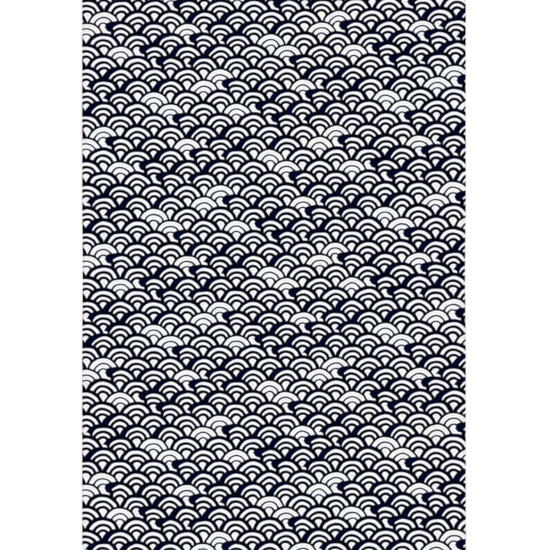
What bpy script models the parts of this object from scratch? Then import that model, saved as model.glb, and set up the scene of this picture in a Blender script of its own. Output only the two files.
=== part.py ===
"""Tenugui towel: a flat, one-piece length of thin plain-woven cotton, dyed all over with waves.

The cloth lies face up. +X runs across it from selvedge to selvedge, +Y along the warp and +Z up.
The origin is at the middle of the underside's bounding box. The side edges are the woven
selvedges, and the two ends are cut along a weft thread and left without a hem.
"""

import math

import bmesh
import bpy

# Driving dimensions, in metres.
WIDTH = 0.340
LENGTH = 0.900
THICKNESS = 0.0012  # the sheet and the air that its soft ripples hold under it

# The selvedges draw in a little about the middle, where the weft was beaten tighter.
WAIST_HALF_LENGTH = 0.075
LEFT_WAIST_DEPTH = 0.00035
RIGHT_WAIST_DEPTH = 0.00065

# Each end follows a weft thread, which is bowed and rises to the right.
FAR_END_RISE = 0.0035
NEAR_END_RISE = 0.0015
WEFT_BOW_POWER = 1.6  # flat over the left third, then rising

# Fineness of the outline.
SIDE_STEPS = 60
END_STEPS = 12

CLOTH_COLOUR = (0.27, 0.28, 0.33, 1.0)
CLOTH_ROUGHNESS = 0.9


def clear_scene():
    """Removes whatever objects the opened scene holds."""
    for thing in list(bpy.data.objects):
        bpy.data.objects.remove(thing, do_unlink=True)


def waist(y, depth):
    """How far a selvedge draws in at y: a smooth dip about the middle of the cloth."""
    if abs(y) >= WAIST_HALF_LENGTH:
        return 0.0
    return depth * math.cos(0.5 * math.pi * y / WAIST_HALF_LENGTH) ** 2


def weft_rise(across, rise):
    """Height of a bowed weft thread, for across running from 0 at the left to 1 at the right."""
    return rise * across**WEFT_BOW_POWER


def end_line(start_y, rise):
    """Points of a cut end, from the left selvedge to the right one."""
    steps = [i / END_STEPS for i in range(END_STEPS + 1)]
    return [(WIDTH * (t - 0.5), start_y + weft_rise(t, rise)) for t in steps]


def side_line(side, start_y, stop_y, depth):
    """Points of a selvedge between two ends, without the corners; side is -1 left, 1 right."""
    steps = [i / SIDE_STEPS for i in range(1, SIDE_STEPS)]
    heights = [start_y + (stop_y - start_y) * t for t in steps]
    return [(side * (WIDTH / 2 - waist(y, depth)), y) for y in heights]


def towel_outline():
    """The cloth's outline, anticlockwise as seen from above."""
    near_end = end_line(-LENGTH / 2, NEAR_END_RISE)
    far_end = end_line(LENGTH / 2 - FAR_END_RISE, FAR_END_RISE)
    right = side_line(1, near_end[-1][1], far_end[-1][1], RIGHT_WAIST_DEPTH)
    left = side_line(-1, near_end[0][1], far_end[0][1], LEFT_WAIST_DEPTH)
    return near_end + right + far_end[::-1] + left[::-1]


def cotton_material():
    """Dyed cotton, in the mean colour of its dark ground and white waves."""
    material = bpy.data.materials.new("dyed_cotton")
    material.use_nodes = True
    shader = material.node_tree.nodes["Principled BSDF"]
    shader.inputs["Base Color"].default_value = CLOTH_COLOUR
    shader.inputs["Roughness"].default_value = CLOTH_ROUGHNESS
    shader.inputs["Metallic"].default_value = 0.0
    return material


def make_towel():
    """One flat sheet: the outline, raised from the surface it lies on to the cloth's thickness."""
    shape = bmesh.new()
    corners = [shape.verts.new((x, y, 0.0)) for x, y in towel_outline()]
    underside = shape.faces.new(corners)
    raised = bmesh.ops.extrude_face_region(shape, geom=[underside])
    top = [item for item in raised["geom"] if isinstance(item, bmesh.types.BMVert)]
    bmesh.ops.translate(shape, verts=top, vec=(0.0, 0.0, THICKNESS))
    bmesh.ops.recalc_face_normals(shape, faces=shape.faces)
    mesh = bpy.data.meshes.new("towel")
    shape.to_mesh(mesh)
    shape.free()
    mesh.materials.append(cotton_material())
    towel = bpy.data.objects.new("towel", mesh)
    bpy.context.scene.collection.objects.link(towel)
    return towel


clear_scene()
make_towel()
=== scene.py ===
"""A tenugui towel: a flat length of thin cotton, dyed all over with overlapping waves."""

import math
import random

import bpy
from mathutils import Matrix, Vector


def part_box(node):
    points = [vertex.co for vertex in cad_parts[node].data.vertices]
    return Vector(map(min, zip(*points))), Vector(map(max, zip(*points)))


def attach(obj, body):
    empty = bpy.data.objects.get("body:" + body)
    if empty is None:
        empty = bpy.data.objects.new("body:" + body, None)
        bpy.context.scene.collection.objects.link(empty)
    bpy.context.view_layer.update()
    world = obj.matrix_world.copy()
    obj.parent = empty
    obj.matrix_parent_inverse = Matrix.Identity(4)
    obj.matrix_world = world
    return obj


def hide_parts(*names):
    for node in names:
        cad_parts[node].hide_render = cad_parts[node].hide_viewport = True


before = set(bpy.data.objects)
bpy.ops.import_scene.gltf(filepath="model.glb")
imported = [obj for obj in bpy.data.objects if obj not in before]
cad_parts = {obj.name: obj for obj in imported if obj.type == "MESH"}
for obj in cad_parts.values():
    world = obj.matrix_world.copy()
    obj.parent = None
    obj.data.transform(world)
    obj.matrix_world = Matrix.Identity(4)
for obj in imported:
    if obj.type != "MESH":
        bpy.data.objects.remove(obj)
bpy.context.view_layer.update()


# ---------------------------------------------------------------------------------------------
# The cloth. One length of thin plain-woven cotton, cut from a narrow bolt: its long sides are
# the selvedges, its ends are cut along the weft. It is dyed through, so both faces match.
# ---------------------------------------------------------------------------------------------

towel_low, towel_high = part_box("towel")
WIDTH = towel_high.x - towel_low.x
LENGTH = towel_high.y - towel_low.y
CLOTH_THICKNESS = 0.00042
RIPPLE_HEIGHT = 0.0006
FRAY_LENGTH = 0.0032
GRID_STEP = 0.005

# The selvedges draw in a little about the middle of the length.
WAIST_HALF_LENGTH = 0.075
WAIST_DEPTHS = {"left": 0.00035, "right": 0.00065}

# The weft is bowed: it lies level over the left of the cloth and rises towards the right,
# more at the far end than at the near one. The cut ends follow it.
END_RISES = {"far": 0.0035, "near": 0.0015}
END_BOW_POWER = 1.6


def waist(y, side):
    """How far that selvedge draws in at y."""
    if abs(y) >= WAIST_HALF_LENGTH:
        return 0.0
    return WAIST_DEPTHS[side] * math.cos(0.5 * math.pi * y / WAIST_HALF_LENGTH) ** 2


def cloth_point(across, along):
    """Where a point of the cloth lies: across 0 to 1 from the left, along 0 to 1 from the near end."""
    bow = across**END_BOW_POWER
    near_y = -LENGTH / 2 + END_RISES["near"] * bow + FRAY_LENGTH
    far_y = LENGTH / 2 + END_RISES["far"] * (bow - 1.0) - FRAY_LENGTH
    y = near_y + (far_y - near_y) * along
    left_x = -WIDTH / 2 + waist(y, "left")
    right_x = WIDTH / 2 - waist(y, "right")
    return left_x + (right_x - left_x) * across, y


def ripple(x, y):
    """Height of the cloth's underside over the surface: slack ripples too low to see as folds."""
    long_wave = math.sin(2 * math.pi * (y / 0.31 + 0.4 * x / WIDTH))
    cross_wave = math.sin(2 * math.pi * (x / 0.23 - 0.5 * y / LENGTH) + 0.8)
    return RIPPLE_HEIGHT * (0.5 + 0.3 * long_wave + 0.2 * cross_wave)


def step(value, middle, softness):
    """A soft step from 0 well below the middle to 1 well above it."""
    return 1.0 / (1.0 + math.exp((middle - value) / softness))


def dyed_at(x, y):
    """Where a point of the cloth lay on the dyer's table, before the cloth was pulled about."""
    across = x / WIDTH + 0.5
    side = x / (0.5 * WIDTH)

    # The weft's bow, more on the far half than on the near one, with a lifted left edge.
    rise = 0.0011 + 0.0031 * step(y, -0.060, 0.040)
    lift = rise * across**2 + 0.0007 * (1.0 - across) ** 8

    # The rows drift a little along the length, as the stencil was laid down again and again.
    drift = 0.0009 * math.cos(2 * math.pi * (y - 0.160) / 0.310)
    settle = 0.0004 - 0.0009 * step(-y, 0.095, 0.015) * step(x, 0.0, 0.0175)

    # The edges stretched outward, and so did the right side and the far right corner.
    edge_stretch = 0.0020 * side**5
    pull = 0.0008 * side**2 + 0.0005 * side - 0.0003
    corner_pull = (0.0015 + 0.0027 * step(x, 0.0, 0.0175)) * step(y, 0.215, 0.035)

    # One strip right of the middle lay slack, so the pattern is squeezed there.
    slack = 0.0007 * math.tanh((x - 0.058) / 0.012) * math.exp(-(((y - 0.03) / 0.13) ** 2))

    return x - edge_stretch - pull - corner_pull + slack, y - lift - drift + settle


def cloth_sheet():
    """The sheet's lower face as a grid, with the dyer's-table coordinates as a UV map."""
    columns = round(WIDTH / GRID_STEP)
    rows = round(LENGTH / GRID_STEP)
    points = []
    for j in range(rows + 1):
        for i in range(columns + 1):
            x, y = cloth_point(i / columns, j / rows)
            points.append((x, y, ripple(x, y)))
    faces = []
    for j in range(rows):
        for i in range(columns):
            first = j * (columns + 1) + i
            faces.append((first, first + 1, first + columns + 2, first + columns + 1))
    mesh = bpy.data.meshes.new("cloth")
    mesh.from_pydata(points, [], faces)
    dyed = mesh.uv_layers.new(name="dyed")
    for loop in mesh.loops:
        x, y, _ = points[loop.vertex_index]
        dyed.data[loop.index].uv = dyed_at(x, y)
    mesh.shade_smooth()
    cloth = bpy.data.objects.new("cloth", mesh)
    bpy.context.scene.collection.objects.link(cloth)
    body = cloth.modifiers.new("thickness", "SOLIDIFY")
    body.thickness = CLOTH_THICKNESS
    body.offset = 1.0
    return cloth


def linear(colour):
    """An sRGB hex colour as the linear RGBA that Blender uses."""
    channels = [int(colour[i : i + 2], 16) / 255 for i in (1, 3, 5)]
    values = [c / 12.92 if c <= 0.04045 else ((c + 0.055) / 1.055) ** 2.4 for c in channels]
    return (*values, 1.0)


def add(tree, kind, *inputs, **settings):
    """Adds a node, such as "Math ADD": its inputs in order are nodes or sockets to link, or values."""
    kind, _, operation = kind.partition(" ")
    node = tree.nodes.new("ShaderNode" + kind)
    if operation:
        node.operation = operation
    for name, value in settings.items():
        setattr(node, name, value)
    for socket, value in zip(node.inputs, inputs):
        if isinstance(value, bpy.types.Node):
            value = value.outputs[0]
        if isinstance(value, bpy.types.NodeSocket):
            tree.links.new(value, socket)
        else:
            socket.default_value = value
    return node


# The wave pattern, seigaiha. Rows of round scales overlap towards the near end, each row half a
# scale along from the last. A pitch is one scale's width, and every size below is in pitches.
SCALES_ACROSS = 11.6
PITCH = WIDTH / SCALES_ACROSS
ROW_STEP = 0.349

# One repeat of the stencil: five rows of seven scales, each row starting half a scale further
# to the right, and the next five rows one scale further still.
CHART = ("NNPNNLL", "LPHlPQL", "NNSLHQP", "NPHLLNP", "NNHQSNH")
CHART_ORIGIN = (-0.137, 1.49)  # the chart's first scale: pitches right of the middle, rows above it

# How each kind of scale is drawn: pale is 1 for thin lines, gather thickens the left of the
# outline, hook cuts a curl under the left shoulder, and square flattens the top.
KINDS = {
    "N": {"pale": 0.0, "gather": 0.0, "hook": 0.0, "square": 0.0},
    "P": {"pale": 1.0, "gather": 0.0, "hook": 0.0, "square": 0.0},
    "l": {"pale": 0.0, "gather": 0.3, "hook": 0.0, "square": 0.0},
    "L": {"pale": 0.0, "gather": 0.5, "hook": 0.0, "square": 0.0},
    "H": {"pale": 0.0, "gather": 0.7, "hook": 1.0, "square": 0.0},
    "Q": {"pale": 0.0, "gather": 0.4, "hook": 0.6, "square": 1.0},
    "S": {"pale": 0.0, "gather": 0.0, "hook": 0.0, "square": 0.8},
}

# One scale, measured from its centre: the white's radius, the outline's, and the two dark arcs'
# half width, the height at which they end, and each one's radius and how far its centre is dropped.
WHITE_RADIUS = 0.430
OUTLINE_RADIUS = 0.516
ARC_HALF_WIDTH = 0.034
ARC_END = -0.01
ARCS = ({"radius": 0.2875, "drop": 0.0}, {"radius": 0.168, "drop": 0.045})
END_ROUNDING = 0.03

# A hooked scale: the round bite, how wide the white keeps clear of it, and the nose over it.
BITE = {"centre": (-0.48, 0.14, 0.0), "radius": 0.20, "clear": 0.29}
NOSE = {"centre": (-0.30, 0.35, 0.0), "radius": 0.14}
HOOK_ROUNDING = 0.02


def fill_chart(ramp):
    """Writes the repeat into a colour ramp, one step for each run of like scales."""
    ramp.interpolation = "CONSTANT"
    chart = "".join(CHART)
    while len(ramp.elements) > 1:
        ramp.elements.remove(ramp.elements[-1])
    ramp.elements[0].position = 0.0
    for place, letter in enumerate(chart):
        if place and letter == chart[place - 1]:
            continue
        stop = ramp.elements.new(place / len(chart)) if place else ramp.elements[0]
        kind = KINDS[letter]
        stop.color = (kind["pale"], kind["gather"], kind["hook"], kind["square"])


def scale_group():
    """One candidate scale at a point: the distances to its white and to its outline's outside."""
    tree = bpy.data.node_groups.new("one wave scale", "ShaderNodeTree")
    for name in ("Across", "Along", "Ahead", "Beside"):
        tree.interface.new_socket(name, in_out="INPUT", socket_type="NodeSocketFloat")
    for name in ("White", "Body"):
        tree.interface.new_socket(name, in_out="OUTPUT", socket_type="NodeSocketFloat")
    given = tree.nodes.new("NodeGroupInput").outputs

    # Which row and which scale of that row.
    row = add(tree, "Math FLOOR", given["Along"])
    row = add(tree, "Math ADD", row, given["Ahead"])
    staggered = add(tree, "Math MULTIPLY_ADD", row, -0.5, given["Across"])
    scale = add(tree, "Math ADD", staggered, given["Beside"])
    scale = add(tree, "Math FLOOR", scale)
    x = add(tree, "Math SUBTRACT", staggered, scale)
    y = add(tree, "Math SUBTRACT", row, given["Along"])
    y = add(tree, "Math MULTIPLY", y, ROW_STEP)

    # Its kind, from the chart.
    rows, columns = len(CHART), len(CHART[0])
    repeat = add(tree, "Math FLOOR", add(tree, "Math DIVIDE", row, rows))
    chart_row = add(tree, "Math MULTIPLY_ADD", repeat, -rows, row)
    chart_column = add(tree, "Math SUBTRACT", scale, repeat)
    chart_column = add(tree, "Math FLOORED_MODULO", chart_column, columns)
    place = add(tree, "Math MULTIPLY_ADD", chart_row, columns, chart_column)
    place = add(tree, "Math ADD", place, 0.5)
    chart = add(tree, "ValToRGB", add(tree, "Math DIVIDE", place, rows * columns))
    fill_chart(chart.color_ramp)
    kind = add(tree, "SeparateColor", chart.outputs["Color"]).outputs
    pale, gather, hook = kind[0], kind[1], kind[2]
    square = chart.outputs["Alpha"]

    # Polar place in the scale; left is 0 at the top and on the right, 1 level with the centre.
    spot = add(tree, "CombineXYZ", x, y)
    radius = add(tree, "VectorMath LENGTH", spot).outputs["Value"]
    angle = add(tree, "Math ARCTAN2", x, y)
    left = add(tree, "Math DIVIDE", x, radius)
    left = add(tree, "Math MULTIPLY", left, -1.0)
    left = add(tree, "Math MAXIMUM", left, 0.0)
    gathered = add(tree, "Math MULTIPLY", gather, left)

    # The outer white band ends at the outline: a little further out on a pale scale, further in
    # where the outline gathers, and dipped at the top and the ends of a square one.
    shoulders = add(tree, "Math MULTIPLY", angle, 6.0)
    shoulders = add(tree, "Math COSINE", shoulders)
    dip = add(tree, "Math MULTIPLY_ADD", shoulders, -0.012, -0.008)
    rim = add(tree, "Math MULTIPLY_ADD", square, dip, WHITE_RADIUS)
    rim = add(tree, "Math MULTIPLY_ADD", gathered, -0.10, rim)
    rim = add(tree, "Math MULTIPLY_ADD", pale, 0.008, rim)
    outside = add(tree, "Math MULTIPLY_ADD", left, 0.008, OUTLINE_RADIUS)
    outside = add(tree, "Math MULTIPLY_ADD", gathered, 0.09, outside)
    outside = add(tree, "Math MULTIPLY_ADD", pale, -0.034, outside)

    # Two dark arcs part the white, the inner one flatter, and thin on a pale scale, most of all
    # at the top. They stop about level with the centre, with round ends, which leaves a white fan
    # under them.
    below = add(tree, "Math SUBTRACT", ARC_END, y)
    thinning = add(tree, "Math COSINE", angle)
    thinning = add(tree, "Math MULTIPLY_ADD", thinning, -0.008, -0.012)
    half_line = add(tree, "Math MULTIPLY_ADD", pale, thinning, ARC_HALF_WIDTH)
    white = add(tree, "Math SUBTRACT", radius, rim)
    for arc in ARCS:
        from_centre = add(tree, "VectorMath DISTANCE", spot, (0.0, -arc["drop"], 0.0))
        middle = add(tree, "Math MULTIPLY_ADD", pale, -0.010, arc["radius"])
        off_line = add(tree, "Math SUBTRACT", from_centre.outputs["Value"], middle)
        off_line = add(tree, "Math ABSOLUTE", off_line)
        off_arc = add(tree, "Math SUBTRACT", off_line, half_line)
        off_arc = add(tree, "Math SMOOTH_MAX", off_arc, below, END_ROUNDING)
        in_arc = add(tree, "Math MULTIPLY", off_arc, -1.0)
        white = add(tree, "Math MAXIMUM", white, in_arc)

    # The hook: a round bite out of the outline under its left shoulder, with a round nose over
    # it. The outer white band stops short of the bite.
    from_bite = add(tree, "VectorMath DISTANCE", spot, BITE["centre"])
    off_bite = add(tree, "Math MULTIPLY", from_bite.outputs["Value"], -1.0)
    bite = add(tree, "Math MULTIPLY_ADD", hook, BITE["radius"], off_bite)
    clear = add(tree, "Math MULTIPLY_ADD", hook, BITE["clear"], off_bite)
    white = add(tree, "Math SMOOTH_MAX", white, clear, END_ROUNDING)
    from_nose = add(tree, "VectorMath DISTANCE", spot, NOSE["centre"])
    nose = add(tree, "Math MULTIPLY_ADD", hook, -NOSE["radius"], from_nose.outputs["Value"])
    body = add(tree, "Math SUBTRACT", radius, outside)
    body = add(tree, "Math SMOOTH_MAX", body, bite, HOOK_ROUNDING)
    body = add(tree, "Math SMOOTH_MIN", body, nose, HOOK_ROUNDING)

    made = tree.nodes.new("NodeGroupOutput")
    tree.links.new(white.outputs[0], made.inputs["White"])
    tree.links.new(body.outputs[0], made.inputs["Body"])
    return tree


# Thin cotton: 25 threads a centimetre each way, in single yarn with soft slubs, and broad
# patches where the undyed yarn is creamier.
THREAD_SPACING = 0.0004
SLUB_WIDTH = 0.0011
SLUB_LENGTH = 0.022
PATCH_SIZE = 0.09

# How the dye lies, as pitches from the pattern's drawn edge: the ramp from dyed to bare, the
# depth at which dye reads as broad, the depth at which bare cotton does, and the hand's waver.
BARE_RAMP = (0.014, -0.024)
BROAD_DYE = (0.022, 0.060)
BROAD_COTTON = (-0.060, -0.038)
OVERLAP_ROUNDING = 0.05
HAND_WAVER = 0.07
WAVERS_PER_PITCH = 2.2


def dyed_cotton():
    """Matt, unglazed cotton with the pattern dyed through it: no gloss, a soft edge to each line."""
    material = bpy.data.materials.new("dyed_cotton")
    material.use_nodes = True
    tree = material.node_tree
    shader = tree.nodes["Principled BSDF"]

    cloth_place = add(tree, "UVMap", uv_map="dyed")
    split = add(tree, "SeparateXYZ", cloth_place).outputs
    start = (-CHART_ORIGIN[0] - 0.5 * HAND_WAVER, CHART_ORIGIN[1] - HAND_WAVER)
    across = add(tree, "Math MULTIPLY_ADD", split[0], 1.0 / PITCH, start[0])
    along = add(tree, "Math MULTIPLY_ADD", split[1], -1.0 / (PITCH * ROW_STEP), start[1])

    # The stencil was cut by hand, so its curves waver.
    waver = add(tree, "TexNoise", cloth_place, noise_dimensions="2D")
    waver.inputs["Scale"].default_value = WAVERS_PER_PITCH / PITCH
    waver.inputs["Detail"].default_value = 1.0
    off = add(tree, "SeparateColor", waver.outputs["Color"]).outputs
    across = add(tree, "Math MULTIPLY_ADD", off[0], HAND_WAVER, across)
    along = add(tree, "Math MULTIPLY_ADD", off[1], 2.0 * HAND_WAVER, along)

    group = scale_group()
    scales = {}
    # Four scales can reach a point: one in the row behind, two in the next and one in front of those.
    places = (("back", 0, 0.5), ("left", 1, 0.0), ("right", 1, 1.0), ("front", 2, 0.5))
    for name, ahead, beside in places:
        scales[name] = add(tree, "Group", across, along, ahead, beside, node_tree=group).outputs

    # Laid over each other from the back: each scale's outline covers the white behind it.
    middle_body = add(tree, "Math MINIMUM", scales["left"]["Body"], scales["right"]["Body"])
    clear_of_middle = add(tree, "Math MULTIPLY", middle_body, -1.0)
    white = add(tree, "Math SMOOTH_MAX", scales["back"]["White"], clear_of_middle, OVERLAP_ROUNDING)
    white = add(tree, "Math MINIMUM", white, scales["left"]["White"])
    white = add(tree, "Math MINIMUM", white, scales["right"]["White"])
    clear_of_front = add(tree, "Math MULTIPLY", scales["front"]["Body"], -1.0)
    white = add(tree, "Math SMOOTH_MAX", white, clear_of_front, OVERLAP_ROUNDING)
    white = add(tree, "Math MINIMUM", white, scales["front"]["White"])

    # The dye's edge is soft, because it creeps about a millimetre along the threads.
    bare = add(tree, "MapRange", white, *BARE_RAMP, 0.0, 1.0, interpolation_type="SMOOTHSTEP")
    bare = add(tree, "Math POWER", bare, 2.0)
    ink = add(tree, "Math SUBTRACT", 1.0, bare)

    # Indigo and black: the dye reads navy where it lies broad, and black in thin lines.
    broad = add(tree, "MapRange", white, *BROAD_DYE, 0.0, 1.0, interpolation_type="SMOOTHSTEP")
    dye = add(tree, "Mix", broad, data_type="RGBA")
    dye.inputs["A"].default_value = linear("#020303")
    dye.inputs["B"].default_value = linear("#04052B")

    # Bare cotton: cool in the narrow bands, natural cream in the broad ones, and uneven.
    patches = add(tree, "TexNoise", cloth_place, noise_dimensions="2D")
    patches.inputs["Scale"].default_value = 1.0 / PATCH_SIZE
    patches.inputs["Detail"].default_value = 1.0
    tone = add(tree, "MapRange", patches, 0.4, 0.6, 0.0, 1.0)
    natural = add(tree, "Mix", tone, data_type="RGBA")
    natural.inputs["A"].default_value = linear("#E9E7D9")
    natural.inputs["B"].default_value = linear("#E4EAE8")
    breadth = add(tree, "MapRange", white, *BROAD_COTTON, 1.0, 0.0, interpolation_type="SMOOTHSTEP")
    cotton = add(tree, "Mix", breadth, data_type="RGBA")
    cotton.inputs["A"].default_value = linear("#EFF1FB")
    tree.links.new(natural.outputs["Result"], cotton.inputs["B"])
    colour = add(tree, "Mix", ink, data_type="RGBA")
    tree.links.new(cotton.outputs["Result"], colour.inputs["A"])
    tree.links.new(dye.outputs["Result"], colour.inputs["B"])

    # Uneven yarn: slubs run along the warp and along the weft, and take the dye unevenly.
    slubs = []
    for slub_x, slub_y in ((SLUB_WIDTH, SLUB_LENGTH), (SLUB_LENGTH, SLUB_WIDTH)):
        yarn = add(tree, "VectorMath MULTIPLY", cloth_place, (1.0 / slub_x, 1.0 / slub_y, 0.0))
        noise = add(tree, "TexNoise", yarn, noise_dimensions="2D")
        noise.inputs["Scale"].default_value = 1.0
        noise.inputs["Detail"].default_value = 2.0
        slubs.append(noise)
    slub = add(tree, "Math ADD", *slubs)
    shade = add(tree, "MapRange", slub, 0.6, 1.4, 0.90, 1.10)
    worn = add(tree, "VectorMath SCALE", colour.outputs["Result"])
    tree.links.new(shade.outputs[0], worn.inputs["Scale"])
    tree.links.new(worn.outputs[0], shader.inputs["Base Color"])

    # Plain weave: each thread goes over one and under the next, so the relief is a chequer.
    turns = add(tree, "VectorMath MULTIPLY", cloth_place, (math.pi / THREAD_SPACING,) * 3)
    thread = add(tree, "SeparateXYZ", turns).outputs
    warp = add(tree, "Math SINE", thread[0])
    weft = add(tree, "Math SINE", thread[1])
    weave = add(tree, "Math MULTIPLY", warp, weft)
    relief = add(tree, "Math MULTIPLY_ADD", slub, 0.5, weave)
    bump = add(tree, "Bump")
    bump.inputs["Strength"].default_value = 0.5
    bump.inputs["Distance"].default_value = THREAD_SPACING / 5
    tree.links.new(relief.outputs[0], bump.inputs["Height"])
    tree.links.new(bump.outputs[0], shader.inputs["Normal"])
    fuzz = add(tree, "MapRange", slub, 0.6, 1.4, 0.82, 0.95)
    tree.links.new(fuzz.outputs[0], shader.inputs["Roughness"])
    shader.inputs["Specular IOR Level"].default_value = 0.0
    return material


cloth = cloth_sheet()
cloth.data.materials.append(dyed_cotton())
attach(cloth, "root")
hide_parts("towel")


# ---------------------------------------------------------------------------------------------
# The cut ends. A tenugui isn't hemmed: it is cut along the weft, and past the last weft thread
# the warp ends stand free as a short, uneven fray in the colours that they were dyed.
# ---------------------------------------------------------------------------------------------

YARN_WIDTH = 0.00022
FRAY_SHORTEST = 0.4  # of the longest
FRAY_LEAN = 0.0006
FRAY_JOINTS = 3


def frayed_end(name, along, outward, seed):
    """The free warp ends of one cut end: along is 0 near or 1 far, outward is -1 near or 1 far."""
    chance = random.Random(seed)
    count = round(WIDTH / THREAD_SPACING)
    points, faces, places = [], [], []
    half = YARN_WIDTH / 2
    for i in range(count):
        x, y = cloth_point((i + 0.5) / count, along)
        z = ripple(x, y) + CLOTH_THICKNESS / 2
        reach = FRAY_LENGTH * chance.uniform(FRAY_SHORTEST, 1.0) * outward
        lean = chance.gauss(0.0, FRAY_LEAN)
        lift = chance.uniform(-0.4, 0.4) * z
        first = len(points)
        for j in range(FRAY_JOINTS + 1):
            t = j / FRAY_JOINTS
            centre = (x + lean * t * t, y + reach * t, z + lift * t * t)
            width = half * (1.0 - 0.4 * t)
            for dx, dz in ((-width, -width), (width, -width), (width, width), (-width, width)):
                points.append((centre[0] + dx, centre[1], centre[2] + dz))
                places.append(dyed_at(x + dx, y + reach * t))
        for j in range(FRAY_JOINTS):
            for k in range(4):
                a = first + 4 * j + k
                b = first + 4 * j + (k + 1) % 4
                quad = (a, b, b + 4, a + 4)
                faces.append(quad if outward < 0 else quad[::-1])
        root = (first, first + 1, first + 2, first + 3)
        tip = tuple(4 * FRAY_JOINTS + corner for corner in root)
        faces += [root[::-1], tip] if outward < 0 else [root, tip[::-1]]
    mesh = bpy.data.meshes.new(name)
    mesh.from_pydata(points, [], faces)
    dyed = mesh.uv_layers.new(name="dyed")
    for loop in mesh.loops:
        dyed.data[loop.index].uv = places[loop.vertex_index]
    mesh.materials.append(cloth.data.materials[0])
    fray = bpy.data.objects.new(name, mesh)
    bpy.context.scene.collection.objects.link(fray)
    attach(fray, "root")
    return fray


frays = [frayed_end("fray_near", 0.0, -1.0, 11), frayed_end("fray_far", 1.0, 1.0, 12)]


# ---------------------------------------------------------------------------------------------
# The surface, the light and the camera.
# ---------------------------------------------------------------------------------------------

FLOOR_HALF = 20.0
FLOOR_DROP = 0.00002  # keeps the surface just clear of the cloth's underside
corners = [(-FLOOR_HALF, -FLOOR_HALF, 0), (FLOOR_HALF, -FLOOR_HALF, 0)]
corners += [(FLOOR_HALF, FLOOR_HALF, 0), (-FLOOR_HALF, FLOOR_HALF, 0)]
floor_mesh = bpy.data.meshes.new("floor")
floor_mesh.from_pydata(corners, [], [(0, 1, 2, 3)])
floor = bpy.data.objects.new("floor", floor_mesh)
floor.location.z = -FLOOR_DROP
bpy.context.scene.collection.objects.link(floor)

# White paper: bright and dead matt, so that nothing of the surface shows but light.
paper = bpy.data.materials.new("white_paper")
paper.use_nodes = True
paper_finish = paper.node_tree.nodes["Principled BSDF"].inputs
paper_finish["Base Color"].default_value = linear("#FAFAFA")
paper_finish["Roughness"].default_value = 0.95
paper_finish["Specular IOR Level"].default_value = 0.0
floor.data.materials.append(paper)

# Even light from all round, which leaves no shadow under the cloth.
world = bpy.data.worlds.new("soft room")
bpy.context.scene.world = world
world.use_nodes = True
sky = world.node_tree.nodes["Background"].inputs
sky["Color"].default_value = linear("#FFFFFF")
sky["Strength"].default_value = 1.11

bpy.context.scene.view_settings.view_transform = "Standard"

# The camera looks straight down from high up, a touch right of the middle.
VIEW_WIDTH = 0.488
CAMERA_HEIGHT = 2.4
CAMERA_SHIFT = 0.0009
SENSOR_WIDTH = 36.0
camera = bpy.data.objects.new("camera", bpy.data.cameras.new("camera"))
camera.data.sensor_width = SENSOR_WIDTH
camera.data.lens = SENSOR_WIDTH * CAMERA_HEIGHT / VIEW_WIDTH
camera.location = (CAMERA_SHIFT, 0.0, CAMERA_HEIGHT)
bpy.context.scene.collection.objects.link(camera)
bpy.context.scene.camera = camera
